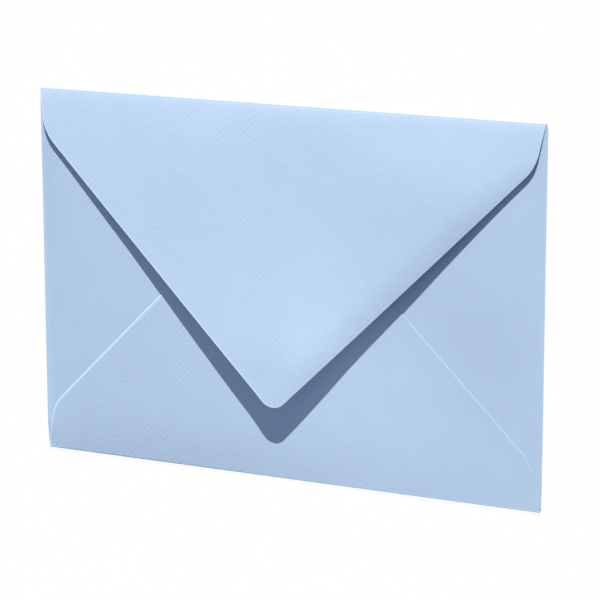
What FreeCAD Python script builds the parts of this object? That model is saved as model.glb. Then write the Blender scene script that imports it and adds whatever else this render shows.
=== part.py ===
import FreeCAD, Part
import math
import os

import Sketcher

# Paper envelope: one sheet folded on four sides and glued, lying on its plain front.
# X runs along the long side, Y towards the fold of the closing flap, Z up.
# The origin is on the underside, in the middle of the outline.

NODE = "envelope_sheet"

# Driving dimensions in millimetres and degrees.
# Each flap is a triangle with a short steep stretch beside its fold, the shoulder,
# and its depth is measured from the fold's outer edge to the sharp, unrounded point.
DIMENSIONS = {
    "envelope_width": (162.0, "long side, from fold to fold"),
    "envelope_height": (114.0, "short side, from fold to fold"),
    "paper_thickness": (0.18, "one layer of paper"),
    "pocket_gap": (0.6, "free height of the pocket between front and side flaps"),
    "flap_clearance": (0.1, "air between the closing flap and the side flaps at its fold"),
    "flap_lift_angle": (3.9, "angle by which the closing flap springs open"),
    "flap_depth": (92.4, "closing flap, fold to sharp point"),
    "flap_root_inset": (1.0, "closing flap's root, in from the side folds"),
    "flap_shoulder_inset": (3.9, "closing flap's shoulder corner, in from the side folds"),
    "flap_shoulder_rise": (14.1, "closing flap's shoulder corner, from its fold"),
    "flap_shoulder_radius": (13.5, "closing flap, shoulder rounding"),
    "flap_tip_radius": (5.0, "closing flap, point rounding"),
    "bottom_depth": (94.1, "bottom flap, fold to sharp point"),
    "bottom_root_inset": (0.4, "bottom flap's root, in from the side folds"),
    "bottom_shoulder_inset": (3.7, "bottom flap's shoulder corner, in from the side folds"),
    "bottom_shoulder_rise": (15.6, "bottom flap's shoulder corner, from its fold"),
    "bottom_shoulder_radius": (13.5, "bottom flap, shoulder rounding"),
    "bottom_tip_radius": (11.0, "bottom flap, point rounding"),
    "side_gap": (22.0, "distance between the points of the two side flaps"),
    "side_root_inset": (1.2, "side flap's root, in from the top and bottom folds"),
    "side_upper_drop": (29.0, "side flap's upper point corner, down from the top edge"),
    "side_lower_rise": (66.0, "side flap's lower point corner, up from the bottom edge"),
    "side_tip_radius": (7.0, "side flap, rounding of both point corners"),
}


def make_sheet(doc):
    """Spreadsheet with one aliased cell for each driving dimension."""
    sheet = doc.addObject("Spreadsheet::Sheet", "dims")
    for row, (name, (value, meaning)) in enumerate(DIMENSIONS.items(), start=1):
        sheet.set(f"A{row}", name)
        sheet.set(f"B{row}", str(value))
        sheet.setAlias(f"B{row}", name)
        sheet.set(f"C{row}", meaning)
    return sheet


# Expressions for places that several features share.
HALF_WIDTH = "dims.envelope_width / 2"
HALF_HEIGHT = "dims.envelope_height / 2"
SIDE_FLOOR = "(dims.paper_thickness + dims.pocket_gap)"
BOTTOM_FLOOR = "(2 * dims.paper_thickness + dims.pocket_gap)"
SIDE_FOLD = "(dims.paper_thickness + dims.pocket_gap / 2)"
BOTTOM_FOLD = "(1.5 * dims.paper_thickness + dims.pocket_gap / 2)"
FLAP_FOLD = "(1.5 * dims.paper_thickness + (dims.pocket_gap + dims.flap_clearance) / 2)"
FLAP_INNER = f"({FLAP_FOLD} - dims.paper_thickness)"
FLAP_ANGLE = "(dims.flap_lift_angle * 1 deg)"


def evaluate(sheet, expression):
    """Value of an expression in the sheet's own numbers."""
    return float(sheet.evalExpression(expression.replace("dims.", "")))


def origin_plane(body, role):
    """One of the body's own origin planes, such as XY_Plane."""
    return next(item for item in body.Origin.OriginFeatures if item.Role == role)


def new_sketch(body, name, role):
    """Empty sketch on one of the body's origin planes."""
    sketch = body.newObject("Sketcher::SketchObject", name)
    sketch.AttachmentSupport = [(origin_plane(body, role), "")]
    sketch.MapMode = "FlatFace"
    return sketch


def bind(sketch, constraint, name, expression):
    """Add a dimension to a sketch, name it and drive it from the sheet."""
    index = sketch.addConstraint(constraint)
    sketch.renameConstraint(index, name)
    sketch.setExpression(f"Constraints.{name}", expression)


def rounded_outline(sketch, sheet, corners):
    """Closed convex outline, counter-clockwise, with tangent arcs at the rounded corners.

    Each corner is (name, x expression, y expression, radius expression or None).
    """
    count = len(corners)
    points = [FreeCAD.Vector(evaluate(sheet, x), evaluate(sheet, y), 0) for _, x, y, _ in corners]
    radii = [evaluate(sheet, r) if r else 0.0 for _, _, _, r in corners]
    entries, exits = [], []
    for i, corner in enumerate(points):
        back = (points[i - 1] - corner).normalize()
        ahead = (points[(i + 1) % count] - corner).normalize()
        reach = radii[i] / math.tan(back.getAngle(ahead) / 2)
        entries.append(corner + back * reach)
        exits.append(corner + ahead * reach)
    lines = [
        sketch.addGeometry(Part.LineSegment(exits[i], entries[(i + 1) % count]))
        for i in range(count)
    ]
    for i, (name, x, y, radius) in enumerate(corners):
        before, after = lines[i - 1], lines[i]
        if radius:
            centre = round_centre(points[i], entries[i], exits[i], radii[i])
            start = math.atan2(entries[i].y - centre.y, entries[i].x - centre.x)
            end = math.atan2(exits[i].y - centre.y, exits[i].x - centre.x)
            circle = Part.Circle(centre, FreeCAD.Vector(0, 0, 1), radii[i])
            arc = sketch.addGeometry(Part.ArcOfCircle(circle, start, end))
            mark = sketch.addGeometry(Part.Point(points[i]), True)
            sketch.addConstraint(Sketcher.Constraint("Tangent", before, 2, arc, 1))
            sketch.addConstraint(Sketcher.Constraint("Tangent", arc, 2, after, 1))
            sketch.addConstraint(Sketcher.Constraint("PointOnObject", mark, 1, before))
            sketch.addConstraint(Sketcher.Constraint("PointOnObject", mark, 1, after))
            bind(sketch, Sketcher.Constraint("Radius", arc, radii[i]), f"{name}_radius", radius)
        else:
            mark = after
            sketch.addConstraint(Sketcher.Constraint("Coincident", before, 2, after, 1))
        bind(sketch, Sketcher.Constraint("DistanceX", mark, 1, points[i].x), f"{name}_x", x)
        bind(sketch, Sketcher.Constraint("DistanceY", mark, 1, points[i].y), f"{name}_y", y)


def round_centre(corner, entry, exit_point, radius):
    """Centre of the arc that touches both sides of a corner."""
    middle = (entry + exit_point) * 0.5
    inward = (middle - corner).normalize()
    half_chord = (exit_point - entry).Length / 2
    return middle + inward * math.sqrt(radius * radius - half_chord * half_chord)


def pad(body, name, sketch, length, midplane=False):
    """Pad of a sketch whose length follows the sheet."""
    feature = body.newObject("PartDesign::Pad", name)
    feature.Profile = sketch
    feature.Midplane = midplane
    feature.setExpression("Length", length)
    sketch.Visibility = False
    return feature


def mirrored(body, name, feature):
    """Copy of a feature on the other side of the envelope's middle."""
    mirror = body.newObject("PartDesign::Mirrored", name)
    mirror.Originals = [feature]
    mirror.MirrorPlane = (origin_plane(body, "YZ_Plane"), [""])
    body.Tip = mirror
    return mirror


def fold_profile(sketch, sheet, side, centre_x, radius, open_angle="0"):
    """Section of one fold: the paper turned round a half circle from the front panel upwards.

    side is 1 where the fold faces the sketch's X axis and -1 where it faces away from it.
    open_angle is what the flap above the fold lacks of a half turn.
    """
    inner = f"({radius} - dims.paper_thickness)"
    x = evaluate(sheet, centre_x)
    outer_value, inner_value = evaluate(sheet, radius), evaluate(sheet, inner)
    lift = math.radians(evaluate(sheet, open_angle))
    low, high = -math.pi / 2, math.pi / 2 - lift
    if side < 0:
        low, high = math.pi / 2 + lift, 3 * math.pi / 2
    centre = FreeCAD.Vector(x, outer_value, 0)
    arcs = []
    for value in (outer_value, inner_value):
        circle = Part.Circle(centre, FreeCAD.Vector(0, 0, 1), value)
        arcs.append(sketch.addGeometry(Part.ArcOfCircle(circle, low, high)))
    outer_arc, inner_arc = arcs
    ends = []
    for angle in (low, high):
        ray = FreeCAD.Vector(math.cos(angle), math.sin(angle), 0)
        line = Part.LineSegment(centre + ray * inner_value, centre + ray * outer_value)
        ends.append(sketch.addGeometry(line))
    for position, line in enumerate(ends, start=1):
        sketch.addConstraint(Sketcher.Constraint("Coincident", line, 1, inner_arc, position))
        sketch.addConstraint(Sketcher.Constraint("Coincident", line, 2, outer_arc, position))
    sketch.addConstraint(Sketcher.Constraint("Coincident", inner_arc, 3, outer_arc, 3))
    front_end, flap_end = (ends[0], ends[1]) if side > 0 else (ends[1], ends[0])
    sketch.addConstraint(Sketcher.Constraint("Vertical", front_end))
    if evaluate(sheet, open_angle):
        turn = Sketcher.Constraint("Angle", flap_end, high)
        bind(sketch, turn, "flap_end_angle", f"90 deg - {open_angle} * 1 deg")
    else:
        sketch.addConstraint(Sketcher.Constraint("Vertical", flap_end))
    bind(sketch, Sketcher.Constraint("Radius", outer_arc, outer_value), "outer_radius", radius)
    bind(sketch, Sketcher.Constraint("Radius", inner_arc, inner_value), "inner_radius", inner)
    bind(sketch, Sketcher.Constraint("DistanceX", outer_arc, 3, x), "centre_x", centre_x)
    bind(sketch, Sketcher.Constraint("DistanceY", outer_arc, 3, outer_value), "centre_y", radius)


def front_panel(body, sheet):
    """The plain address side, which lies on the table: flat up to where the folds begin."""
    sketch = new_sketch(body, "front_outline", "XY_Plane")
    right = f"{HALF_WIDTH} - {SIDE_FOLD}"
    left = f"{SIDE_FOLD} - {HALF_WIDTH}"
    top = f"{HALF_HEIGHT} - {FLAP_FOLD}"
    bottom = f"{BOTTOM_FOLD} - {HALF_HEIGHT}"
    rounded_outline(sketch, sheet, [
        ("bottom_left", left, bottom, None),
        ("bottom_right", right, bottom, None),
        ("top_right", right, top, None),
        ("top_left", left, top, None),
    ])
    pad(body, "front_panel", sketch, "dims.paper_thickness")


def side_folds_and_flaps(body, sheet):
    """Left and right folds with their flaps, which lie under the bottom flap."""
    profile = new_sketch(body, "side_fold_section", "XZ_Plane")
    fold_profile(profile, sheet, 1, f"{HALF_WIDTH} - {SIDE_FOLD}", SIDE_FOLD)
    fold = pad(body, "side_fold", profile, "dims.envelope_height - 2 * dims.side_root_inset", True)
    mirrored(body, "other_side_fold", fold)

    sketch = new_sketch(body, "side_flap_outline", "XY_Plane")
    sketch.setExpression("AttachmentOffset.Base.z", SIDE_FLOOR)
    root_x = f"{HALF_WIDTH} - {SIDE_FOLD}"
    tip_x = "dims.side_gap / 2"
    rounded_outline(sketch, sheet, [
        ("root_bottom", root_x, f"dims.side_root_inset - {HALF_HEIGHT}", None),
        ("root_top", root_x, f"{HALF_HEIGHT} - dims.side_root_inset", None),
        ("tip_top", tip_x, f"{HALF_HEIGHT} - dims.side_upper_drop", "dims.side_tip_radius"),
        ("tip_bottom", tip_x, f"dims.side_lower_rise - {HALF_HEIGHT}", "dims.side_tip_radius"),
    ])
    flap = pad(body, "side_flap", sketch, "dims.paper_thickness")
    mirrored(body, "other_side_flap", flap)


def pointed_flap_outline(sketch, sheet, kind, root_y, edge_y, direction):
    """Triangle with shoulders and a rounded point.

    kind is the dimensions' first word, flap or bottom. root_y is where the flat part starts,
    edge_y is the fold's outer edge, and direction is + or -, the way the flap points in Y.
    """
    root = f"({HALF_WIDTH} - dims.{kind}_root_inset)"
    shoulder = f"({HALF_WIDTH} - dims.{kind}_shoulder_inset)"
    shoulder_y = f"{edge_y} {direction} dims.{kind}_shoulder_rise"
    shoulder_radius = f"dims.{kind}_shoulder_radius"
    corners = [
        ("root_left", f"0 - {root}", root_y, None),
        ("root_right", root, root_y, None),
        ("shoulder_right", shoulder, shoulder_y, shoulder_radius),
        ("tip", "0", f"{edge_y} {direction} dims.{kind}_depth", f"dims.{kind}_tip_radius"),
        ("shoulder_left", f"0 - {shoulder}", shoulder_y, shoulder_radius),
    ]
    if direction == "-":
        corners.reverse()
    rounded_outline(sketch, sheet, corners)


def bottom_fold_and_flap(body, sheet):
    """The fold along the lower edge and its flap, glued on to the side flaps."""
    profile = new_sketch(body, "bottom_fold_section", "YZ_Plane")
    fold_y = f"{BOTTOM_FOLD} - {HALF_HEIGHT}"
    fold_profile(profile, sheet, -1, fold_y, BOTTOM_FOLD)
    root_width = "dims.envelope_width - 2 * dims.bottom_root_inset"
    pad(body, "bottom_fold", profile, root_width, True)

    sketch = new_sketch(body, "bottom_flap_outline", "XY_Plane")
    sketch.setExpression("AttachmentOffset.Base.z", BOTTOM_FLOOR)
    pointed_flap_outline(sketch, sheet, "bottom", fold_y, f"0 - {HALF_HEIGHT}", "+")
    pad(body, "bottom_flap", sketch, "dims.paper_thickness")


def closing_fold_and_flap(body, sheet):
    """The fold along the upper edge and the closing flap, sprung open by its lift angle."""
    profile = new_sketch(body, "closing_fold_section", "YZ_Plane")
    fold_profile(profile, sheet, 1, f"{HALF_HEIGHT} - {FLAP_FOLD}", FLAP_FOLD, "dims.flap_lift_angle")
    root_width = "dims.envelope_width - 2 * dims.flap_root_inset"
    pad(body, "closing_fold", profile, root_width, True)

    sketch = new_sketch(body, "closing_flap_outline", "XY_Plane")
    tilt = FreeCAD.Rotation(FreeCAD.Vector(-1, 0, 0), evaluate(sheet, "dims.flap_lift_angle"))
    sketch.AttachmentOffset = FreeCAD.Placement(FreeCAD.Vector(), tilt)
    sketch.setExpression("AttachmentOffset.Rotation.Angle", "dims.flap_lift_angle * 1 deg")
    hinge_y = f"{HALF_HEIGHT} - {FLAP_FOLD} + {FLAP_INNER} * sin({FLAP_ANGLE})"
    hinge_z = f"{FLAP_FOLD} + {FLAP_INNER} * cos({FLAP_ANGLE})"
    sketch.setExpression("AttachmentOffset.Base.y", hinge_y)
    sketch.setExpression("AttachmentOffset.Base.z", hinge_z)
    pointed_flap_outline(sketch, sheet, "flap", "0", FLAP_FOLD, "-")
    pad(body, "closing_flap", sketch, "dims.paper_thickness")


def check(doc, bodies):
    """Stop with a plain message if a feature failed or a body isn't one sound solid."""
    for item in doc.Objects:
        if "Invalid" in item.State or "Error" in item.State:
            raise RuntimeError(f"{item.Name} failed: {item.State}")
    for body in bodies:
        if body.Shape.isNull() or not body.Shape.isValid():
            raise RuntimeError(f"{body.Label} has no valid shape")
        if len(body.Shape.Solids) != 1:
            raise RuntimeError(f"{body.Label} has {len(body.Shape.Solids)} solids")


def main():
    """Build the sheet, check it and write it."""
    doc = FreeCAD.newDocument("envelope")
    sheet = make_sheet(doc)
    doc.recompute()
    body = doc.addObject("PartDesign::Body", NODE)
    body.Label = NODE
    front_panel(body, sheet)
    side_folds_and_flaps(body, sheet)
    bottom_fold_and_flap(body, sheet)
    closing_fold_and_flap(body, sheet)
    body.Placement = FreeCAD.Placement()
    doc.recompute()
    check(doc, [body])

    os.makedirs("parts", exist_ok=True)
    body.Shape.exportStep(os.path.join("parts", f"{body.Label}.step"))
    box = body.Shape.BoundBox
    print(f"{body.Label}: volume {body.Shape.Volume:.1f}, box {box}")


main()
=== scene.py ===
"""Looks of a folded paper envelope that lies on its plain front with its closing flap sprung open.

The sheet is cut flat as a blank, folded by a Geometry Nodes rule, given its thickness and dressed
in a pale blue ribbed paper. Lengths in the classes are millimetres; Blender's own are metres.
"""

import logging
import math
from dataclasses import dataclass, field
from enum import Enum

import bpy
import numpy as np
from mathutils import Matrix, Vector

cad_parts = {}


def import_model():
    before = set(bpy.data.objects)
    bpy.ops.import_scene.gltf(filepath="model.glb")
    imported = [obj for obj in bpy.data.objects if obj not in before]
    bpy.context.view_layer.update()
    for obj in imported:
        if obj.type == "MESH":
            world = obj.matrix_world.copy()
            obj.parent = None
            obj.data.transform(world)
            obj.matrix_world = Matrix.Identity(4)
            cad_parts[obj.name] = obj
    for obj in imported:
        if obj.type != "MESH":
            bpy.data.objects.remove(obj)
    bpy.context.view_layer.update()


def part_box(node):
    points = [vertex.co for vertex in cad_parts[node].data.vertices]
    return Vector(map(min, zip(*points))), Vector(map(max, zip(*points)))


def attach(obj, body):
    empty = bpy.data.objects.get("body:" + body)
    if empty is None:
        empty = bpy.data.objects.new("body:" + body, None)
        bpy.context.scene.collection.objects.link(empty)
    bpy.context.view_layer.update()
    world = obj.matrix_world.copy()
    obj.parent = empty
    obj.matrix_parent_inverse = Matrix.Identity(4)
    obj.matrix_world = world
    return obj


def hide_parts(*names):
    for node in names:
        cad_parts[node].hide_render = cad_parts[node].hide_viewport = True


LOG = logging.getLogger("envelope")
MM = 0.001
NODE = "envelope_sheet"
ROOT_BODY = "root"


class Panel(Enum):
    """The parts of the blank that a fold line bounds."""

    FRONT = 0
    LEFT = 1
    RIGHT = 2
    BOTTOM = 3
    CLOSING = 4


def fade(distance: np.ndarray, reach: float) -> np.ndarray:
    """Rise from 0 at an edge towards 1, with most of it inside reach."""
    return 1.0 - np.exp(-np.maximum(distance, 0.0) / reach)


def rise_to(value: np.ndarray, low: float, high: float) -> np.ndarray:
    """Smooth step from 0 at low to 1 at high."""
    share = np.clip((value - low) / (high - low), 0.0, 1.0)
    return share * share * (3.0 - 2.0 * share)


@dataclass(frozen=True)
class Swell:
    """A gentle bump of the paper: its middle, how far it spreads and how high it stands."""

    x: float
    y: float
    wide: float
    long: float
    height: float

    def at(self, x: np.ndarray, y: np.ndarray) -> np.ndarray:
        """Height of the bump at each place."""
        away = ((x - self.x) / self.wide) ** 2 + ((y - self.y) / self.long) ** 2
        return self.height * np.exp(-0.5 * away)


def rounded_line(corners: list, radii: list, steps: int = 24) -> np.ndarray:
    """Run through corners with a tangent arc at each rounded one.

    Args:
        corners: Corner points as (x, y).
        radii: One radius for each corner, 0 where it is sharp.
        steps: Segments in each arc.

    Returns:
        The points of the run, in order.
    """
    points = [np.array(corner, float) for corner in corners]
    run = [points[0]]
    for before, corner, after, radius in zip(points, points[1:], points[2:], radii[1:]):
        back = (before - corner) / np.linalg.norm(before - corner)
        ahead = (after - corner) / np.linalg.norm(after - corner)
        half_angle = math.acos(float(np.clip(back @ ahead, -1, 1))) / 2
        inward = (back + ahead) / np.linalg.norm(back + ahead)
        centre = corner + inward * radius / math.sin(half_angle)
        start = corner + back * radius / math.tan(half_angle) - centre
        end = corner + ahead * radius / math.tan(half_angle) - centre
        sweep = math.pi - 2 * half_angle
        for step in np.linspace(0, 1, steps + 1):
            share = math.sin((1 - step) * sweep) * start + math.sin(step * sweep) * end
            run.append(centre + share / math.sin(sweep))
    run.append(points[-1])
    return np.array(run)


def distance_to_line(x: np.ndarray, y: np.ndarray, line: np.ndarray) -> np.ndarray:
    """Distance of each point from a run of straight pieces."""
    best = np.full(x.shape, np.inf)
    for (ax, ay), (bx, by) in zip(line, line[1:]):
        length2 = (bx - ax) ** 2 + (by - ay) ** 2
        if length2 == 0:
            continue
        share = np.clip(((x - ax) * (bx - ax) + (y - ay) * (by - ay)) / length2, 0, 1)
        best = np.minimum(best, np.hypot(x - ax - share * (bx - ax), y - ay - share * (by - ay)))
    return best


@dataclass(frozen=True)
class PointedFlap:
    """Outline of a flap that narrows to a rounded point, cut a little off the middle.

    Places across are from the envelope's middle, and rises from the fold's outer edge.
    """

    root: tuple[float, float]
    left_shoulder: tuple[float, float]
    right_shoulder: tuple[float, float]
    apex: tuple[float, float]
    shoulder_radius: float
    tip_radius: float

    def outline(self) -> np.ndarray:
        """The cut edge from the right end of the fold round the point to the left end."""
        ends = [(self.root[1], 0.0), (self.root[0], 0.0)]
        corners = [ends[0], self.right_shoulder, self.apex, self.left_shoulder, ends[1]]
        radii = [0, self.shoulder_radius, self.tip_radius, self.shoulder_radius, 0]
        return rounded_line(corners, radii)

    def tip(self) -> tuple[float, float]:
        """Place and distance from the fold of the rounded point."""
        line = self.outline()
        return tuple(line[int(line[:, 1].argmax())])

    def ends(self, rise: float) -> tuple[float, float]:
        """Left and right cut edge at one distance from the fold."""
        line = self.outline()
        top = int(line[:, 1].argmax())
        right, left = line[: top + 1], line[top:][::-1]
        return (
            float(np.interp(rise, left[:, 1], left[:, 0])),
            float(np.interp(rise, right[:, 1], right[:, 0])),
        )


@dataclass(frozen=True)
class Fold:
    """A fold: where it starts in the blank, its radius at mid-thickness and how far it turns."""

    line: float
    radius: float
    turn: float = math.pi

    @property
    def arc(self) -> float:
        """Length of paper that the fold takes up."""
        return self.radius * self.turn


@dataclass
class Blank:
    """The flat sheet, cut to shape, as a mesh of four-sided faces whose rows follow the folds."""

    width: float
    height: float
    side: Fold
    bottom: Fold
    closing: Fold
    bottom_flap: PointedFlap
    closing_flap: PointedFlap
    side_root_inset: float = 0.9
    side_tip_half_gap: float = 11.0
    side_upper_drop: float = 29.0
    side_lower_rise: float = 66.0
    side_tip_radius: float = 7.0
    column_count: int = 88
    row_step: float = 1.6
    arc_steps: int = 12
    tip_steps: int = 14
    rim_steps: tuple = (0.0, 0.14, 0.3, 0.5, 0.9, 1.8)
    near_steps: tuple = (0.25, 0.6, 1.0, 1.5, 2.2, 3.0, 4.0, 5.2, 6.5)
    far_start: float = 8.0
    tip_margin: float = 0.01
    side_start: float = 0.6
    side_tip_steps: int = 8
    verts: list = field(default_factory=list)
    faces: list = field(default_factory=list)
    panels: list = field(default_factory=list)

    def add(self, x: float, y: float, panel: Panel) -> int:
        """Add a point of the blank and return its number."""
        self.verts.append((x, y))
        self.panels.append(panel.value)
        return len(self.verts) - 1

    def join(self, rows: list) -> None:
        """Put faces between neighbouring rows of points."""
        for low, high in zip(rows, rows[1:]):
            for i in range(len(low) - 1):
                self.faces.append((low[i], high[i], high[i + 1], low[i + 1]))

    def across(self, left: float, right: float) -> np.ndarray:
        """Places across a flap between its cut edges, closer together beside them.

        The close places take up no more than a third of each half.
        """
        half = (right - left) / 2
        rims = np.array(self.rim_steps) * min(1.0, half / (3 * self.rim_steps[-1]))
        middle = np.linspace(left + rims[-1], right - rims[-1], self.column_count)[1:-1]
        return np.concatenate([left + rims, middle, (right - rims)[::-1]])

    def front_rows(self) -> list:
        """Rows of the front panel; the outer two are the roots of the pointed flaps."""
        side_y = self.height / 2 - self.side_root_inset
        count = int(self.height / self.row_step)
        low, high = self.across(*self.bottom_flap.root), self.across(*self.closing_flap.root)
        rows = [(-self.bottom.line, low)]
        for y in np.linspace(-side_y, side_y, count):
            share = (y + side_y) / (2 * side_y)
            inner = low * (1 - share) + high * share
            inner = np.interp(inner, [inner[0], inner[-1]], [-self.side.line, self.side.line])
            rows.append((y, inner))
        rows.append((self.closing.line, high))
        return [[self.add(x, y, Panel.FRONT) for x in across] for y, across in rows]

    def flap_reaches(self, fold: Fold, flap: PointedFlap) -> np.ndarray:
        """Distances beyond a fold's start at which a pointed flap has a row."""
        arc = np.linspace(0, fold.arc, self.arc_steps + 1)[1:]
        edge = self.height / 2 - fold.line
        tip = flap.tip()[1]
        straight_end = tip - flap.tip_radius
        count = int((straight_end - self.far_start) / self.row_step)
        far = np.linspace(self.far_start, straight_end, count)
        angles = np.linspace(0, math.pi / 2, self.tip_steps + 1)[1:-1]
        rounded = straight_end + flap.tip_radius * np.sin(angles)
        beyond = np.concatenate([far, rounded, [tip - self.tip_margin]])
        reaches = np.concatenate([self.near_steps, beyond - edge])
        return np.concatenate([arc, fold.arc + reaches])

    def pointed_rows(
        self, root: list, fold: Fold, flap: PointedFlap, sign: int, panel: Panel
    ) -> list:
        """Rows of a pointed flap, from its root row in the front panel outwards.

        Args:
            root: Numbers of the points in the root row.
            fold: The fold that turns the flap.
            flap: The flap's outline.
            sign: 1 for a flap above the front panel, -1 for one below it.
            panel: The panel that the new points belong to.

        Returns:
            The rows, each a list of point numbers.
        """
        edge = self.height / 2 - fold.line
        rows = [root]
        for reach in self.flap_reaches(fold, flap):
            beyond = max(reach - fold.arc + edge, 0.0)
            ends = flap.root if reach <= fold.arc else flap.ends(beyond)
            y = sign * (fold.line + reach)
            rows.append([self.add(x, y, panel) for x in self.across(*ends)])
        return rows

    def side_rows(self, root: list, sign: int, panel: Panel) -> list:
        """Rows of a side flap, from its root in the front panel towards its blunt point.

        Args:
            root: Numbers of the front panel's outermost points on that side.
            sign: 1 for the right side, -1 for the left one.
            panel: The panel that the new points belong to.

        Returns:
            The rows, each a list of point numbers.
        """
        root_ys = np.array([self.verts[i][1] for i in root])
        shares = (root_ys - root_ys[0]) / (root_ys[-1] - root_ys[0])
        span = self.side.line - self.side_tip_half_gap
        half = self.height / 2
        upper_tip = half - self.side_upper_drop
        lower_tip = self.side_lower_rise - half
        middle = (upper_tip + lower_tip) / 2
        radii = [0, self.side_tip_radius, 0]
        upper = rounded_line([(0, root_ys[-1]), (span, upper_tip), (span, middle)], radii)
        lower = rounded_line([(0, root_ys[0]), (span, lower_tip), (span, middle)], radii)
        arc = np.linspace(0, self.side.arc, self.arc_steps + 1)[1:]
        straight_end, count = span - self.side_tip_radius, int(span / self.row_step)
        straight = np.linspace(self.side_start, straight_end, count)
        angles = np.linspace(0, math.pi / 2, self.side_tip_steps + 1)[1:]
        rounded = span - self.side_tip_radius * (1 - np.sin(angles))
        rows = [root]
        for reach in np.concatenate([arc, self.side.arc + np.concatenate([straight, rounded])]):
            beyond = max(reach - self.side.arc, 0.0)
            high = float(np.interp(beyond, upper[:-1, 0], upper[:-1, 1]))
            low = float(np.interp(beyond, lower[:-1, 0], lower[:-1, 1]))
            x = sign * (self.side.line + reach)
            rows.append([self.add(x, low + share * (high - low), panel) for share in shares])
        return rows

    def cut(self) -> None:
        """Make every row of the blank and the faces between them."""
        front = self.front_rows()
        self.join(front)
        closing = self.pointed_rows(front[-1], self.closing, self.closing_flap, 1, Panel.CLOSING)
        self.join(closing)
        bottom = self.pointed_rows(front[0], self.bottom, self.bottom_flap, -1, Panel.BOTTOM)
        self.join(bottom[::-1])
        right = self.side_rows([row[-1] for row in front[1:-1]], 1, Panel.RIGHT)
        self.join([list(line) for line in zip(*right)])
        left = self.side_rows([row[0] for row in front[1:-1]], -1, Panel.LEFT)
        self.join([list(line)[::-1] for line in zip(*left)])

    def rest_place(self) -> tuple[np.ndarray, np.ndarray]:
        """Where each point of the blank lies, seen from above, once it is folded.

        Returns:
            Two arrays, x and y, in millimetres.
        """
        flat = np.array(self.verts)
        x, y = flat[:, 0].copy(), flat[:, 1].copy()
        beyond_side = np.abs(x) - self.side.line - self.side.arc
        x = np.where(beyond_side > 0, np.sign(x) * (self.side.line - beyond_side), x)
        beyond_low = -y - self.bottom.line - self.bottom.arc
        y = np.where(beyond_low > 0, beyond_low - self.bottom.line, y)
        beyond_high = flat[:, 1] - self.closing.line - self.closing.arc
        y = np.where(beyond_high > 0, self.closing.line - beyond_high, y)
        return x, y


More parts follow.
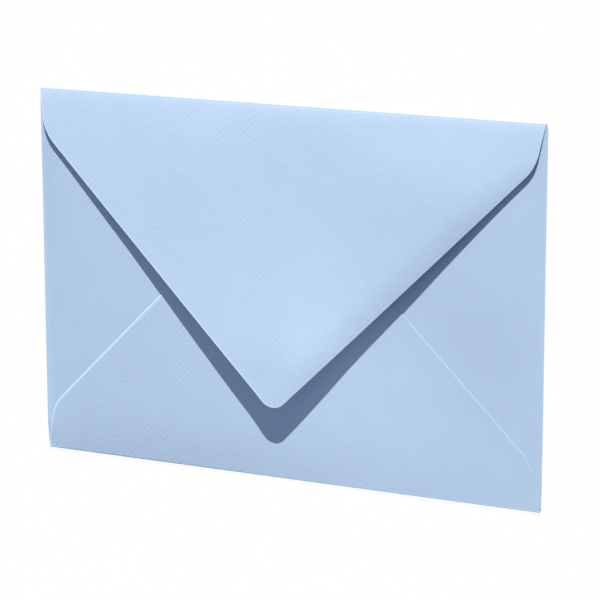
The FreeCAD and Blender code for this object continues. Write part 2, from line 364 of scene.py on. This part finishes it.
@dataclass(frozen=True)
class Relief:
    """How the handled paper departs from flat, in millimetres of height.

    A span is a pair of places between which an effect rises from nothing to its full size. The
    left edge's lift rises over left_lift_start and fades away over left_lift_end.
    """

    spring_height: float = 0.36
    spring_more_right: float = 0.14
    spring_span: tuple = (-60, 30)
    spring_reach: float = 2.8
    flap_sag: float = 0.002
    flap_twist: float = 0.00012
    right_curl: float = 0.775
    right_curl_width: float = 8.0
    right_curl_start: float = 12.0
    right_curl_reach: float = 8.0
    flap_swell_reach: float = 8.0
    flap_swells: tuple = (
        Swell(-26.6, 21, 12.6, 20, 0.49),
        Swell(-66, 29, 18.9, 14.7, 0.26),
        Swell(45.9, 21.1, 22, 12.6, 0.55),
        Swell(60, 24, 13, 9, 0.25),
        Swell(-30, 62, 12, 14, 0.1),
        Swell(9.4, 67.7, 9.3, 16.5, 0.55),
        Swell(41.2, 49.9, 21.3, 17.2, 0.55),
        Swell(8.4, 78.6, 9.8, 9, 0.55),
        Swell(-8, 86, 5, 6, -0.25),
        Swell(5, 90, 5, 6, 0.05),
    )
    left_rise: float = 1.1
    right_rise: float = 0.0
    rise_reach: float = 9.0
    side_reach: float = 5.0
    top_reach: float = 9.0
    flat_margin: float = 1.0
    back_swell_reach: float = 7.0
    back_swells: tuple = (
        Swell(-10, -44, 26, 18, 0.14),
        Swell(66, 3, 12, 14, 0.7),
        Swell(-52, 0, 20, 26, 0.35),
        Swell(71, 28, 12, 15, 0.45),
        Swell(26, -14, 14, 10, -0.08),
    )
    rim_reach: float = 0.27
    left_seam_roll: float = -0.11
    right_seam_roll: float = -0.02
    left_flap_burr: float = 0.04
    burr_width: float = 6.0
    left_lift: float = 0.95
    left_lift_reach: float = 2.4
    left_lift_start: tuple = (-57, -48)
    left_lift_end: tuple = (-90, 60)
    right_draw: float = 0.33
    right_draw_span: tuple = (-55, 45)

    def closing(self, x: np.ndarray, reach: np.ndarray, edge: np.ndarray) -> np.ndarray:
        """Relief of the closing flap.

        Args:
            x: Places across the flap.
            reach: Distances from the fold's outer edge.
            edge: Distances from the cut edge.

        Returns:
            The height to add at each place.
        """
        spring = self.spring_height + self.spring_more_right * rise_to(x, *self.spring_span)
        height = spring * fade(reach, self.spring_reach) - self.flap_sag * reach
        height -= self.flap_twist * x * reach
        for swell in self.flap_swells:
            height += swell.at(x, reach) * (1 - np.exp(-((reach / self.flap_swell_reach) ** 2)))
        curl = np.clip(1 - edge / self.right_curl_width, 0, 1) ** 2
        curl *= np.clip(x / self.right_curl_start, 0, 1)
        curl *= fade(reach - self.right_curl_start, self.right_curl_reach)
        height -= self.right_curl * curl
        burr = np.exp(-edge / self.rim_reach) * np.clip(-x / self.burr_width, 0, 1)
        return height + self.left_flap_burr * burr

    def back(self, x: np.ndarray, y: np.ndarray, width: float, height: float) -> np.ndarray:
        """Relief that the side flaps and the bottom flap over them share.

        Args:
            x: Places across the folded envelope.
            y: Places along it, towards the closing fold.
            width: The envelope's width.
            height: The envelope's height.

        Returns:
            The height to add at each place.
        """
        share = (x + width / 2) / width
        low, inward = y + height / 2, width / 2 - np.abs(x)
        rise = self.left_rise * (1 - share) + self.right_rise * share
        rise = rise * fade(low, self.rise_reach)
        for swell in self.back_swells:
            rise += swell.at(x, y) * (1 - np.exp(-((low / self.back_swell_reach) ** 2)))
        rise *= fade(np.where(x < 0, inward - self.flat_margin, inward), self.side_reach)
        return rise * fade(height / 2 - y - self.flat_margin, self.top_reach)

    def lifted(self, x: np.ndarray, y: np.ndarray, width: float) -> np.ndarray:
        """Warp that lifts every layer along the left edge."""
        along = rise_to(y, *self.left_lift_start) * (1 - rise_to(y, *self.left_lift_end))
        return self.left_lift * along * np.exp(-(x + width / 2) / self.left_lift_reach)

    def drawn_in(self, x: np.ndarray, y: np.ndarray, width: float) -> np.ndarray:
        """How far the right edge is drawn in, more so towards the closing fold."""
        return self.right_draw * rise_to(y, *self.right_draw_span) * rise_to(x, 0, width / 2)

    def seam(self, x: np.ndarray, edge: np.ndarray) -> np.ndarray:
        """Rolled cut edge of the bottom flap, stronger on its left side."""
        roll = np.where(x < 0, self.left_seam_roll, self.right_seam_roll)
        return roll * np.exp(-edge / self.rim_reach)


@dataclass(frozen=True)
class EdgeToneAndPaintedLight:
    """Tone along a flap's cut edge on its left and on its right: partly paler raw fibres, partly
    painted highlight, and painted shade where the tone is below 0.
    """

    left: float
    right: float
    reach: float = 0.15
    change_width: float = 8.0

    def at(self, x: np.ndarray, edge: np.ndarray) -> np.ndarray:
        """How much lighter the paper is painted at each place, for fibres and painted highlight;
        below 0 it is painted darker than its own colour, as painted shade.
        """
        share = np.clip(0.5 + x / self.change_width, 0, 1)
        return (self.left * (1 - share) + self.right * share) * np.exp(-edge / self.reach)


def socket(tree: bpy.types.NodeTree, name: str, kind: str, out: bool = False) -> None:
    """Add a named input or output to a node group."""
    tree.interface.new_socket(name=name, in_out="OUTPUT" if out else "INPUT", socket_type=kind)


class NodeKit:
    """Short ways to add nodes to one tree."""

    spacing = 180

    def __init__(self, tree: bpy.types.NodeTree) -> None:
        """Remember the tree to add to and start at its left."""
        self.tree = tree
        self.column = 0

    def node(self, kind: str, **settings: object) -> bpy.types.Node:
        """Add a node and set its properties."""
        made = self.tree.nodes.new(kind)
        made.location = (self.spacing * self.column, 0)
        self.column += 1
        for name, value in settings.items():
            setattr(made, name, value)
        return made

    def feed(self, target: bpy.types.NodeSocket, source: object) -> None:
        """Link a socket into another, or set a plain value on it."""
        if isinstance(source, bpy.types.NodeSocket):
            self.tree.links.new(source, target)
        else:
            target.default_value = source

    def math(self, operation: str, *values: object) -> bpy.types.NodeSocket:
        """Add a Math node for one operation and return its result."""
        made = self.node("ShaderNodeMath", operation=operation)
        for target, value in zip(made.inputs, values):
            self.feed(target, value)
        return made.outputs[0]

    def attribute(self, name: str) -> bpy.types.NodeSocket:
        """Read a number that the mesh carries at each point in a Geometry Nodes tree."""
        made = self.node("GeometryNodeInputNamedAttribute", data_type="FLOAT")
        made.inputs["Name"].default_value = name
        return made.outputs["Attribute"]

    def carried(self, name: str) -> bpy.types.NodeSocket:
        """Read a number that the mesh carries at each point in a material."""
        return self.node("ShaderNodeAttribute", attribute_name=name).outputs["Fac"]

    def looked_at(self) -> bpy.types.NodeSocket:
        """1 where the camera looks, straight or by way of a mirror or glass, and 0 for light."""
        path = self.node("ShaderNodeLightPath").outputs
        seen = self.math("MAXIMUM", path["Is Camera Ray"], path["Is Glossy Ray"])
        return self.math("MAXIMUM", seen, path["Is Transmission Ray"])

    def mix(
        self, share: object, first: bpy.types.Node, second: bpy.types.Node
    ) -> bpy.types.NodeSocket:
        """Blend two shaders and return the result."""
        made = self.node("ShaderNodeMixShader")
        for target, source in zip(made.inputs, (share, first.outputs[0], second.outputs[0])):
            self.feed(target, source)
        return made.outputs[0]


def fold_group() -> bpy.types.NodeTree:
    """Node group that bends one coordinate round a fold and gives its new place and height."""
    tree = bpy.data.node_groups.new("bend round a fold", "GeometryNodeTree")
    for name in ("Coordinate", "Line", "Radius", "Turn"):
        socket(tree, name, "NodeSocketFloat")
    for name in ("Along", "Height"):
        socket(tree, name, "NodeSocketFloat", out=True)
    kit = NodeKit(tree)
    given = kit.node("NodeGroupInput").outputs
    beyond = kit.math("MAXIMUM", kit.math("SUBTRACT", given["Coordinate"], given["Line"]), 0.0)
    angle = kit.math("MINIMUM", kit.math("DIVIDE", beyond, given["Radius"]), given["Turn"])
    arc = kit.math("MULTIPLY", given["Radius"], given["Turn"])
    rest = kit.math("MAXIMUM", kit.math("SUBTRACT", beyond, arc), 0.0)
    start = kit.math("MINIMUM", given["Coordinate"], given["Line"])
    out = kit.math("MULTIPLY_ADD", given["Radius"], kit.math("SINE", angle), start)
    along = kit.math("MULTIPLY_ADD", rest, kit.math("COSINE", given["Turn"]), out)
    lack = kit.math("SUBTRACT", 1.0, kit.math("COSINE", angle))
    up = kit.math("MULTIPLY", given["Radius"], lack)
    height = kit.math("MULTIPLY_ADD", rest, kit.math("SINE", given["Turn"]), up)
    result = kit.node("NodeGroupOutput")
    kit.feed(result.inputs["Along"], along)
    kit.feed(result.inputs["Height"], height)
    return tree


def folding_tree() -> bpy.types.NodeTree:
    """Geometry Nodes rule that folds the flat blank into the envelope."""
    tree = bpy.data.node_groups.new("fold the blank", "GeometryNodeTree")
    socket(tree, "Geometry", "NodeSocketGeometry")
    for fold in ("Side", "Bottom", "Closing"):
        for size in ("line", "radius", "turn"):
            socket(tree, f"{fold} {size}", "NodeSocketFloat")
    socket(tree, "Thickness", "NodeSocketFloat")
    socket(tree, "Material", "NodeSocketMaterial")
    socket(tree, "Geometry", "NodeSocketGeometry", out=True)
    kit = NodeKit(tree)
    given = kit.node("NodeGroupInput").outputs
    bend = fold_group()

    def folded(coordinate: bpy.types.NodeSocket, fold: str) -> bpy.types.NodeOutputs:
        """Bend one coordinate round one of the three kinds of fold."""
        group = kit.node("GeometryNodeGroup", node_tree=bend)
        kit.feed(group.inputs["Coordinate"], coordinate)
        for size in ("line", "radius", "turn"):
            kit.feed(group.inputs[size.capitalize()], given[f"{fold} {size}"])
        return group.outputs

    apart = kit.node("ShaderNodeSeparateXYZ")
    kit.feed(apart.inputs[0], kit.node("GeometryNodeInputPosition").outputs[0])
    x, y = apart.outputs["X"], apart.outputs["Y"]
    out = kit.math("ABSOLUTE", x)
    side = folded(out, "Side")
    closing = folded(y, "Closing")
    bottom = folded(kit.math("MULTIPLY", closing["Along"], -1.0), "Bottom")
    relief, drawn, turned = (kit.attribute(name) for name in ("relief", "drawn", "side_flap"))
    height = kit.math("MULTIPLY_ADD", given["Thickness"], 0.5, relief)
    side_height = kit.math("MULTIPLY", side["Height"], turned)
    for more in (closing["Height"], bottom["Height"], side_height):
        height = kit.math("ADD", height, more)
    out = kit.math("MULTIPLY_ADD", kit.math("SUBTRACT", side["Along"], out), turned, out)
    out = kit.math("SUBTRACT", out, drawn)
    place = kit.node("ShaderNodeCombineXYZ")
    kit.feed(place.inputs["X"], kit.math("MULTIPLY", kit.math("SIGN", x), out))
    kit.feed(place.inputs["Y"], kit.math("MULTIPLY", bottom["Along"], -1.0))
    kit.feed(place.inputs["Z"], height)
    moved = kit.node("GeometryNodeSetPosition")
    kit.feed(moved.inputs["Geometry"], given["Geometry"])
    kit.feed(moved.inputs["Position"], place.outputs[0])
    real = kit.node("GeometryNodeRealizeInstances")
    kit.feed(real.inputs["Geometry"], moved.outputs["Geometry"])
    dressed = kit.node("GeometryNodeSetMaterial")
    kit.feed(dressed.inputs["Geometry"], real.outputs["Geometry"])
    kit.feed(dressed.inputs["Material"], given["Material"])
    kit.feed(kit.node("NodeGroupOutput").inputs["Geometry"], dressed.outputs["Geometry"])
    return tree


@dataclass(frozen=True)
class RibbedPaper:
    """Pale blue paper with fine ribs across the blank's diagonal, and paler raw edges with painted
    highlight and shade along cut edges and folds.
    """

    colour: tuple = (0.439, 0.575, 0.781, 1.0)
    rib_pitch: float = 1.29
    rib_height: float = 0.0065
    rib_wander: float = 0.45
    rib_patch: float = 6.0
    rib_strength: tuple = (-0.3, 2.1)
    fibre_width: float = 0.7
    fibre_length: float = 2.4
    fibre_height: float = 0.055
    grain_size: float = 0.4
    grain_height: float = 0.032
    mottle_size: float = 9.0
    mottle_share: float = 0.012
    mottle_range: tuple = (0.3, 0.7)
    noise_detail: float = 3.0
    roughness: float = 0.85
    specular: float = 0.25
    tone_and_painted_light_gain: float = 0.45

    def material(self) -> bpy.types.Material:
        """Build the paper as a node material on the blank's own coordinates."""
        made = bpy.data.materials.new("ribbed_paper")
        made.use_nodes = True
        tree = made.node_tree
        tree.nodes.clear()
        kit = NodeKit(tree)
        flat = kit.node("ShaderNodeAttribute", attribute_name="blank").outputs["Vector"]
        shader = kit.node("ShaderNodeBsdfPrincipled")
        shader.inputs["Roughness"].default_value = self.roughness
        shader.inputs["Specular IOR Level"].default_value = self.specular
        kit.feed(shader.inputs["Base Color"], self.mottled(kit, flat))
        kit.feed(shader.inputs["Normal"], self.relief(kit, flat))
        kit.feed(kit.node("ShaderNodeOutputMaterial").inputs["Surface"], shader.outputs[0])
        return made

    def noise(self, kit: NodeKit, flat: bpy.types.NodeSocket, size: float) -> bpy.types.NodeSocket:
        """Noise whose patches are about size millimetres across."""
        made = kit.node("ShaderNodeTexNoise", noise_dimensions="3D")
        kit.feed(made.inputs["Vector"], flat)
        made.inputs["Scale"].default_value = 1.0 / size
        made.inputs["Detail"].default_value = self.noise_detail
        return made.outputs["Fac"]

    def mottled(self, kit: NodeKit, flat: bpy.types.NodeSocket) -> bpy.types.NodeSocket:
        """Paper colour with a faint cloudiness, lightened or darkened by the tone that each point
        carries: raw fibres plus painted highlight and shade along cut edges and folds.
        """
        span = kit.node("ShaderNodeMapRange")
        kit.feed(span.inputs["Value"], self.noise(kit, flat, self.mottle_size))
        span.inputs["From Min"].default_value = self.mottle_range[0]
        span.inputs["From Max"].default_value = self.mottle_range[1]
        span.inputs["To Min"].default_value = 1.0 - self.mottle_share
        span.inputs["To Max"].default_value = 1.0 + self.mottle_share
        scaled = kit.node("ShaderNodeVectorMath", operation="SCALE")
        scaled.inputs[0].default_value = self.colour[:3]
        kit.feed(scaled.inputs["Scale"], span.outputs["Result"])
        # Lighten or darken the colour by the carried tone: raw fibres on cut edges, painted
        # highlight and painted shade on cut edges and folds.
        gain = kit.math("MULTIPLY_ADD", kit.carried("tone_and_painted_light"), self.tone_and_painted_light_gain, 1.0)
        toned = kit.node("ShaderNodeVectorMath", operation="SCALE")
        kit.feed(toned.inputs[0], scaled.outputs[0])
        kit.feed(toned.inputs["Scale"], gain)
        return toned.outputs[0]

    def bump(
        self,
        kit: NodeKit,
        height: bpy.types.NodeSocket,
        distance: float,
        normal: bpy.types.NodeSocket | None = None,
    ) -> bpy.types.NodeSocket:
        """Normals of one layer of relief, laid over another one if it is given.

        Args:
            kit: Adds nodes to the material's tree.
            height: The layer's pattern.
            distance: How deep a step of 1 in the pattern is, in millimetres.
            normal: Normals of the layer underneath.

        Returns:
            The normals with this layer in them.
        """
        made = kit.node("ShaderNodeBump")
        kit.feed(made.inputs["Strength"], kit.carried("emboss"))
        made.inputs["Distance"].default_value = distance * MM
        kit.feed(made.inputs["Height"], height)
        if normal is not None:
            kit.feed(made.inputs["Normal"], normal)
        return made.outputs["Normal"]

    def relief(self, kit: NodeKit, flat: bpy.types.NodeSocket) -> bpy.types.NodeSocket:
        """Normals of the ribs, of the fibres pressed along them and of the grain."""
        turned = kit.node("ShaderNodeMapping", vector_type="POINT")
        kit.feed(turned.inputs["Vector"], flat)
        turned.inputs["Rotation"].default_value = (0.0, 0.0, -math.pi / 4)
        apart = kit.node("ShaderNodeSeparateXYZ")
        kit.feed(apart.inputs[0], turned.outputs[0])
        wander = kit.math("MULTIPLY", self.noise(kit, flat, self.mottle_size / 2), self.rib_wander)
        across = kit.math("ADD", apart.outputs["X"], wander)
        rib = kit.math("SINE", kit.math("MULTIPLY", across, 2 * math.pi / self.rib_pitch))
        weakest, strongest = self.rib_strength
        patches = self.noise(kit, flat, self.rib_patch)
        strength = kit.math("MULTIPLY_ADD", patches, strongest - weakest, weakest)
        ribs = self.bump(kit, kit.math("MULTIPLY", rib, strength), self.rib_height)
        stretched = kit.node("ShaderNodeMapping", vector_type="POINT")
        kit.feed(stretched.inputs["Vector"], turned.outputs[0])
        stretched.inputs["Scale"].default_value = (1.0, self.fibre_width / self.fibre_length, 1.0)
        fibres = self.noise(kit, stretched.outputs[0], self.fibre_width)
        pressed = self.bump(kit, fibres, self.fibre_height, ribs)
        return self.bump(kit, self.noise(kit, flat, self.grain_size), self.grain_height, pressed)


@dataclass
class EnvelopeSheet:
    """The whole envelope: one blank, folded, with paper of its real thickness."""

    low: Vector
    high: Vector
    thickness: float = 0.18
    side_radius: float = 0.1
    bottom_radius: float = 0.2
    closing_radius: float = 0.2
    lift_degrees: float = 3.9
    bottom_flap: PointedFlap = PointedFlap(
        root=(-80.9, 80.82),
        left_shoulder=(-79.0, 13.9),
        right_shoulder=(76.95, 15.2),
        apex=(-0.85, 93.95),
        shoulder_radius=13.5,
        tip_radius=11.0,
    )
    closing_flap: PointedFlap = PointedFlap(
        root=(-80.9, 80.5),
        left_shoulder=(-78.95, 13.25),
        right_shoulder=(78.0, 12.65),
        apex=(-1.0, 92.4),
        shoulder_radius=13.5,
        tip_radius=5.0,
    )
    paper: RibbedPaper = RibbedPaper()
    relief: Relief = Relief()
    # Left cut edge of the closing flap: paler fibres and a painted highlight.
    closing_edge_fibres_and_highlight: EdgeToneAndPaintedLight = EdgeToneAndPaintedLight(0.6, 0.0)
    # Seams of the bottom flap: paler fibres and a painted highlight on the left, painted shade on
    # the right.
    bottom_edge_fibres_highlight_and_shade: EdgeToneAndPaintedLight = EdgeToneAndPaintedLight(1.5, -0.33)
    # Painted shade on the closing fold, which faces the lamp.
    closing_fold_painted_shade: float = -0.4
    # Painted light on the bottom fold, which turns away from the lamp.
    bottom_fold_painted_light: float = 0.9
    worn_span: tuple = (-20, 60)
    closing_wear: float = 0.2
    other_wear: float = 0.5
    sharp_degrees: float = 50.0

    def fold(self, size: float, radius: float, turn: float = math.pi) -> Fold:
        """Fold whose outer side ends at half of one size of the envelope."""
        return Fold(size / 2 - radius - self.thickness / 2, radius, turn)

    def blank(self) -> Blank:
        """Cut the blank that folds to the frame's width and height."""
        width = (self.high.x - self.low.x) / MM
        height = (self.high.y - self.low.y) / MM
        turn = math.pi - math.radians(self.lift_degrees)
        blank = Blank(
            width=width,
            height=height,
            side=self.fold(width, self.side_radius),
            bottom=self.fold(height, self.bottom_radius),
            closing=self.fold(height, self.closing_radius, turn),
            bottom_flap=self.bottom_flap,
            closing_flap=self.closing_flap,
        )
        blank.cut()
        return blank

    def carried(self, blank: Blank) -> dict:
        """What every point of the blank carries.

        Args:
            blank: The cut sheet.

        Returns:
            Arrays by attribute name: relief and drawn in metres, a tone that lightens or darkens
                the
            paper (raw fibres, painted highlight and painted shade along cut edges and folds),
            side_flap as 1 on the side flaps, and emboss as the strength of the paper's pattern.
        """
        panels = np.array(blank.panels)
        flat_y = np.array(blank.verts)[:, 1]
        x, y = blank.rest_place()
        relief, tone_and_painted_light = np.zeros(len(x)), np.zeros(len(x))
        on_closing, on_bottom = (panels == kind.value for kind in (Panel.CLOSING, Panel.BOTTOM))
        closing = on_closing & (flat_y > blank.closing.line + blank.closing.arc)
        reach = blank.height / 2 - y
        edge = distance_to_line(x[closing], reach[closing], blank.closing_flap.outline())
        relief[closing] = self.relief.closing(x[closing], reach[closing], edge)
        # Fibres and painted highlight along the closing flap's cut edge.
        tone_and_painted_light[closing] = self.closing_edge_fibres_and_highlight.at(x[closing], edge)
        side_flap = np.isin(panels, (Panel.LEFT.value, Panel.RIGHT.value))
        back = side_flap | on_bottom
        relief[back] = self.relief.back(x[back], y[back], blank.width, blank.height)
        bottom = on_bottom & (flat_y < -blank.bottom.line - blank.bottom.arc)
        rise = y[bottom] + blank.height / 2
        edge = distance_to_line(x[bottom], rise, blank.bottom_flap.outline())
        relief[bottom] += self.relief.seam(x[bottom], edge)
        # Fibres with painted highlight and shade along the bottom flap's seams.
        tone_and_painted_light[bottom] = self.bottom_edge_fibres_highlight_and_shade.at(x[bottom], edge)
        # Painted shade on the closing fold.
        tone_and_painted_light[on_closing & ~closing] = self.closing_fold_painted_shade
        # Painted light on the bottom fold.
        tone_and_painted_light[on_bottom & ~bottom] = self.bottom_fold_painted_light
        relief += np.where(on_closing, 0.0, self.relief.lifted(x, y, blank.width))
        drawn = self.relief.drawn_in(x, y, blank.width)
        wear = np.where(on_closing, self.closing_wear, self.other_wear)
        return {
            "relief": relief * MM,
            "drawn": drawn * MM,
            "tone_and_painted_light": tone_and_painted_light,
            "side_flap": side_flap,
            "emboss": 1.0 - wear * rise_to(x, *self.worn_span),
        }

    def flat_object(self, blank: Blank) -> bpy.types.Object:
        """The blank as a Blender mesh with its relief and its own coordinates as attributes."""
        flat = np.array(blank.verts)
        points = np.column_stack([flat, np.zeros(len(flat))])
        mesh = bpy.data.meshes.new("flat_blank")
        mesh.from_pydata((points * MM).tolist(), [], blank.faces)
        own = mesh.attributes.new("blank", "FLOAT_VECTOR", "POINT")
        own.data.foreach_set("vector", points.astype(np.float32).ravel())
        for name, values in self.carried(blank).items():
            carried = mesh.attributes.new(name, "FLOAT", "POINT")
            carried.data.foreach_set("value", np.asarray(values, np.float32))
        flat_sheet = bpy.data.objects.new("flat_blank", mesh)
        bpy.context.scene.collection.objects.link(flat_sheet)
        return flat_sheet

    def folded_mesh(self, flat_sheet: bpy.types.Object, blank: Blank) -> bpy.types.Mesh:
        """Fold the blank, give it thickness and return the result as a plain mesh."""
        tree = folding_tree()
        modifier = flat_sheet.modifiers.new("fold", "NODES")
        modifier.node_group = tree
        values = {"Thickness": self.thickness * MM, "Material": self.paper.material()}
        folds = {"Side": blank.side, "Bottom": blank.bottom, "Closing": blank.closing}
        for name, fold in folds.items():
            values[f"{name} line"] = fold.line * MM
            values[f"{name} radius"] = fold.radius * MM
            values[f"{name} turn"] = fold.turn
        for item in tree.interface.items_tree:
            if item.in_out == "INPUT" and item.name in values:
                modifier[item.identifier] = values[item.name]
        wall = flat_sheet.modifiers.new("thickness", "SOLIDIFY")
        wall.thickness = self.thickness * MM
        wall.offset = 0.0
        wall.use_even_offset = True
        graph = bpy.context.evaluated_depsgraph_get()
        mesh = bpy.data.meshes.new_from_object(flat_sheet.evaluated_get(graph))
        bpy.data.objects.remove(flat_sheet)
        mesh.name = "envelope_paper"
        mesh.shade_smooth()
        mesh.set_sharp_from_angle(angle=math.radians(self.sharp_degrees))
        return mesh

    def build(self) -> bpy.types.Object:
        """Make the finished sheet and let it stand for the frame's node."""
        blank = self.blank()
        mesh = self.folded_mesh(self.flat_object(blank), blank)
        sheet = bpy.data.objects.new("envelope_paper", mesh)
        bpy.context.scene.collection.objects.link(sheet)
        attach(sheet, ROOT_BODY)
        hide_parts(NODE)
        LOG.info("%s: %d faces", sheet.name, len(mesh.polygons))
        return sheet


@dataclass
class Studio:
    """White floor, a small bright lamp over the closing fold, a weak spot, soft fill, a camera."""

    floor_half: float = 3.0
    floor_drop: float = 0.05
    floor_glow: float = 0.94
    floor_colour: tuple = (0.94, 0.94, 0.93, 1.0)
    to_lamp: tuple = (0.38, 2.14, 1.0)
    lamp_strength: float = 5.88
    lamp_colour: tuple = (1.0, 0.94, 0.84)
    lamp_degrees: float = 0.7
    spot_place: tuple = (165.0, -115.0, 130.0)
    spot_target: tuple = (6.0, -15.0, 2.0)
    spot_watts: float = 0.29
    spot_degrees: float = 21.0
    spot_radius: float = 20.0
    fill: tuple = (0.22, 0.27, 0.338, 1.0)
    background: tuple = (1.0, 1.0, 1.0, 1.0)
    camera_place: tuple = (299.65, 183.18, 668.79)
    camera_target: tuple = (5.07, -0.97, 0.57)
    camera_roll_degrees: float = -0.136
    lens: float = 152.95
    sensor: float = 36.0

    def floor_material(self) -> bpy.types.Material:
        """White floor that stays white to the camera and keeps the object's shadow faintly."""
        made = bpy.data.materials.new("white_floor")
        made.use_nodes = True
        tree = made.node_tree
        tree.nodes.clear()
        kit = NodeKit(tree)
        share = kit.math("MULTIPLY", kit.looked_at(), self.floor_glow)
        diffuse = kit.node("ShaderNodeBsdfDiffuse")
        diffuse.inputs["Color"].default_value = self.floor_colour
        mixed = kit.mix(share, diffuse, kit.node("ShaderNodeEmission"))
        kit.feed(kit.node("ShaderNodeOutputMaterial").inputs["Surface"], mixed)
        return made

    def build_floor(self) -> None:
        """Lay the floor just under the envelope."""
        half, low = self.floor_half, -self.floor_drop * MM
        corners = [(-half, -half, low), (half, -half, low), (half, half, low), (-half, half, low)]
        mesh = bpy.data.meshes.new("floor")
        mesh.from_pydata(corners, [], [(0, 1, 2, 3)])
        mesh.materials.append(self.floor_material())
        floor = bpy.data.objects.new("floor", mesh)
        bpy.context.scene.collection.objects.link(floor)

    def build_world(self) -> None:
        """White background with a soft bluish fill light."""
        world = bpy.data.worlds.new("studio")
        bpy.context.scene.world = world
        world.use_nodes = True
        tree = world.node_tree
        tree.nodes.clear()
        kit = NodeKit(tree)
        fill, white = kit.node("ShaderNodeBackground"), kit.node("ShaderNodeBackground")
        fill.inputs["Color"].default_value = self.fill
        white.inputs["Color"].default_value = self.background
        mixed = kit.mix(kit.looked_at(), fill, white)
        kit.feed(kit.node("ShaderNodeOutputWorld").inputs["Surface"], mixed)

    def hang(self, light: bpy.types.Light, place: Vector, towards: Vector) -> None:
        """Put a light in the scene so that it shines away from one direction."""
        light.color = self.lamp_colour
        lamp = bpy.data.objects.new(light.name, light)
        lamp.location = place
        lamp.rotation_euler = towards.to_track_quat("Z", "Y").to_euler()
        bpy.context.scene.collection.objects.link(lamp)

    def build_lamps(self) -> None:
        """Distant lamp that throws the flap's sharp shadow, and a weak spot at the flap's point."""
        key = bpy.data.lights.new("key_lamp", "SUN")
        key.energy = self.lamp_strength
        key.angle = math.radians(self.lamp_degrees)
        self.hang(key, Vector((0, 0, 1)), Vector(self.to_lamp))
        spot = bpy.data.lights.new("bounce_spot", "SPOT")
        spot.energy = self.spot_watts
        spot.spot_size = math.radians(self.spot_degrees)
        spot.spot_blend = 1.0
        spot.shadow_soft_size = self.spot_radius * MM
        place = Vector(self.spot_place) * MM
        self.hang(spot, place, place - Vector(self.spot_target) * MM)

    def build_camera(self) -> None:
        """Camera that looks down on the flap side from its upper right."""
        data = bpy.data.cameras.new("camera")
        data.lens = self.lens
        data.sensor_width = self.sensor
        camera = bpy.data.objects.new("camera", data)
        place = Vector(self.camera_place) * MM
        back = (place - Vector(self.camera_target) * MM).normalized()
        right = Vector((0, 1, 0)).cross(back).normalized()
        axes = Matrix((right, back.cross(right), back)).transposed()
        roll = Matrix.Rotation(math.radians(self.camera_roll_degrees), 3, "Z")
        camera.matrix_world = Matrix.Translation(place) @ (axes @ roll).to_4x4()
        bpy.context.scene.collection.objects.link(camera)
        bpy.context.scene.camera = camera

    def build(self) -> None:
        """Set up everything round the object."""
        bpy.context.scene.view_settings.view_transform = "Standard"
        self.build_floor()
        self.build_world()
        self.build_lamps()
        self.build_camera()


def main() -> None:
    """Load the frame, dress the envelope and set the stage."""
    logging.basicConfig(level=logging.INFO, format="%(name)s: %(message)s")
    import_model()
    low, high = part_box(NODE)
    EnvelopeSheet(low, high).build()
    Studio().build()


if __name__ == "__main__":
    main()
